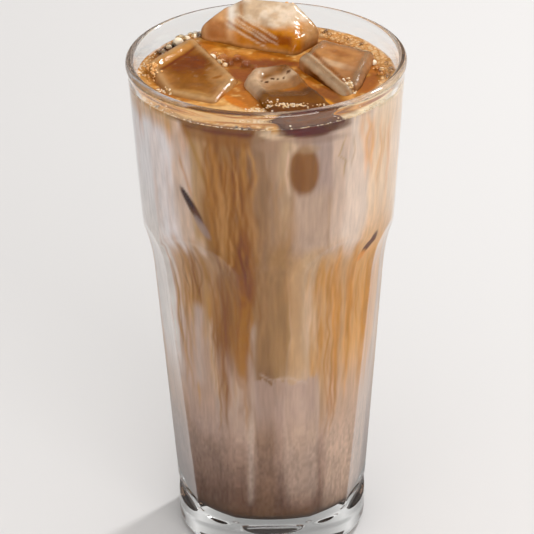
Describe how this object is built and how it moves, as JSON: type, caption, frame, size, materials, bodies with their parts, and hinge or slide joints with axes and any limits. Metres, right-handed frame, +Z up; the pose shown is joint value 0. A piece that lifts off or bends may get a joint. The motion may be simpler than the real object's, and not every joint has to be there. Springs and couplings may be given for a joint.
{
  "type": "iced latte in a glass",
  "caption": "Iced latte in a tall pressed glass with arched flats, filled to just under the rim, with lumps of ice floating in coffee foam and milk streaks down the sides",
  "frame": {"origin": "centre of the glass's flat base, on the surface that it stands on", "axes": "+Z up along the glass's axis; -Y is the side with a narrow-topped flat in the middle, towards the viewer; +X to the viewer's right"},
  "size_m": [0.084, 0.084, 0.164],
  "materials": {
    "glass": "clear fire-polished pressed glass",
    "latte": "milk and coffee, streaked and cloudy, wet",
    "ice": "clear wet ice tinted by the coffee round it"
  },
  "bodies": {
    "root": {"glass": "glass", "latte": "latte", "ice_left": "ice", "ice_right": "ice", "ice_back": "ice", "ice_front": "ice"}
  },
  "joints": []
}
